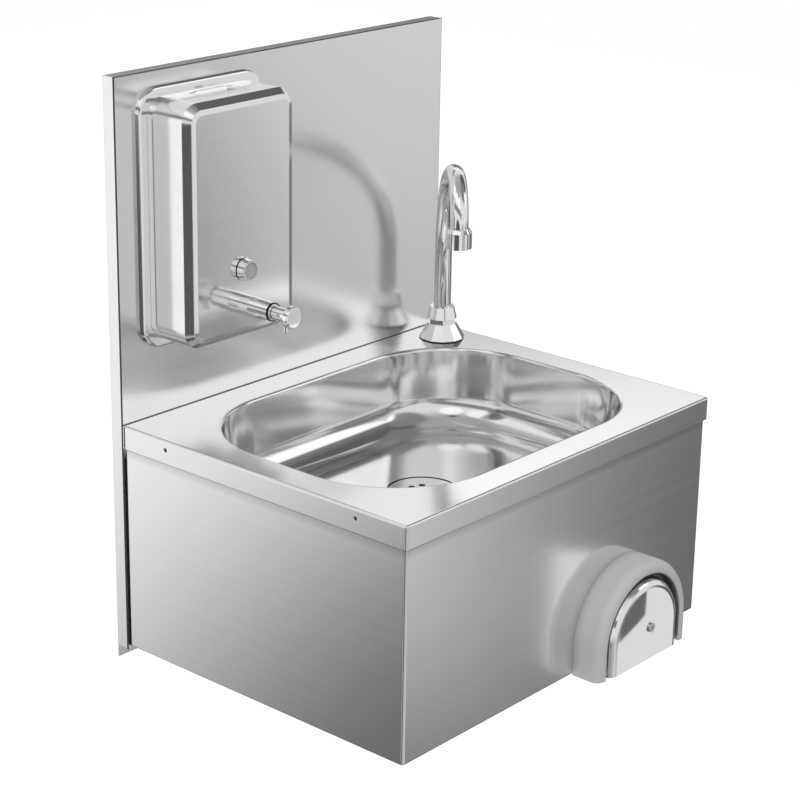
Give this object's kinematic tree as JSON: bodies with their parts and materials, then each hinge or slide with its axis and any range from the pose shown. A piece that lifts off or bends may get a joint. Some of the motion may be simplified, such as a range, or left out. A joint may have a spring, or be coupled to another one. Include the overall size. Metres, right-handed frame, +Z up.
{
  "type": "hand wash sink",
  "caption": "Wall-hung stainless steel hand wash sink with a knee-operated valve, a swivelling swan-neck spout and a soap dispenser on the splashback.",
  "frame": {"origin": "on the wall plane, at mid-width, at the height of the worktop's top face", "axes": "+X to the user's right, -Y out of the wall to the user, +Z up"},
  "size_m": [0.4, 0.3557, 0.5075],
  "materials": {
    "sheet_steel": "satin brushed stainless sheet",
    "bowl_steel": "polished stainless",
    "fixing_steel": "plain stainless",
    "tap_chrome": "bright chrome plate",
    "valve_brass": "machined brass",
    "rubber_black": "matte rubber",
    "grey_plastic": "matte grey moulding",
    "white_plastic": "smooth white moulding",
    "dark_plastic": "matte dark moulding",
    "clear_window": "clear window"
  },
  "bodies": {
    "sink": {"wall_pan": "sheet_steel", "splashback": "sheet_steel", "worktop": "sheet_steel", "bowl": "bowl_steel", "cabinet": "sheet_steel", "frame_screws": "fixing_steel", "frame_nuts": "fixing_steel", "waste_gasket": "rubber_black", "waste_strainer": "bowl_steel", "waste_washer": "rubber_black", "waste_tail": "white_plastic", "waste_screw": "fixing_steel", "tap_gasket": "rubber_black", "tap_base": "tap_chrome", "tap_collar": "tap_chrome", "tap_washer": "fixing_steel", "tap_nut": "valve_brass", "supply_tube": "valve_brass", "supply_nuts": "valve_brass", "knee_housing": "grey_plastic", "housing_screws": "fixing_steel", "spindle_seal": "rubber_black", "valve_spring": "fixing_steel", "valve_body": "valve_brass", "valve_washer": "rubber_black", "valve_nut": "valve_brass", "valve_cap": "valve_brass", "inlet_tails": "valve_brass", "dispenser_hanger": "fixing_steel", "hanger_screws": "fixing_steel", "hanger_nuts": "fixing_steel", "dispenser_back": "bowl_steel", "dispenser_body": "sheet_steel", "lid_pin": "fixing_steel", "sight_gasket": "rubber_black", "sight_bezel": "tap_chrome", "sight_lens": "clear_window", "sight_nut": "dark_plastic", "pump_sleeve": "tap_chrome", "pump_gasket": "rubber_black", "pump_nut": "valve_brass", "pump_seal": "rubber_black", "pump_spring": "fixing_steel"},
    "swivel_spout": {"spout": "tap_chrome", "spout_orings": "rubber_black", "aerator_sleeve": "tap_chrome", "aerator_insert": "dark_plastic"},
    "knee_pusher": {"knee_plate": "bowl_steel", "plate_screw": "fixing_steel", "valve_spindle": "fixing_steel", "seat_disc": "rubber_black"},
    "filler_lid": {"dispenser_lid": "sheet_steel"},
    "cam_lock": {"lid_lock": "fixing_steel"},
    "soap_pusher": {"pump_head": "tap_chrome", "pump_piston": "white_plastic"}
  },
  "joints": [
    {"name": "spout_swivel", "type": "hinge", "parent": "sink", "child": "swivel_spout", "pos_m": [0.1685, -0.0485, 0.009], "axis": [0, 0, 1], "range_deg": [-50, 140]},
    {"name": "knee_push", "type": "slide", "parent": "sink", "child": "knee_pusher", "axis": [0, 1, 0], "range_m": [0, 0.012], "stiffness_N_per_m": 1200, "springref_m": -0.01, "deforming": ["valve_spring"]},
    {"name": "lid_hinge", "type": "hinge", "parent": "sink", "child": "filler_lid", "pos_m": [-0.109, -0.0275, 0.2705], "axis": [-1, 0, 0], "range_deg": [0, 85]},
    {"name": "lock_turn", "type": "hinge", "parent": "filler_lid", "child": "cam_lock", "pos_m": [-0.096, -0.0395, 0.272], "axis": [0, 0, 1], "range_deg": [0, 90]},
    {"name": "soap_push", "type": "slide", "parent": "sink", "child": "soap_pusher", "axis": [0, 1, 0], "range_m": [0, 0.011], "stiffness_N_per_m": 500, "springref_m": -0.008, "deforming": ["pump_spring"]}
  ]
}
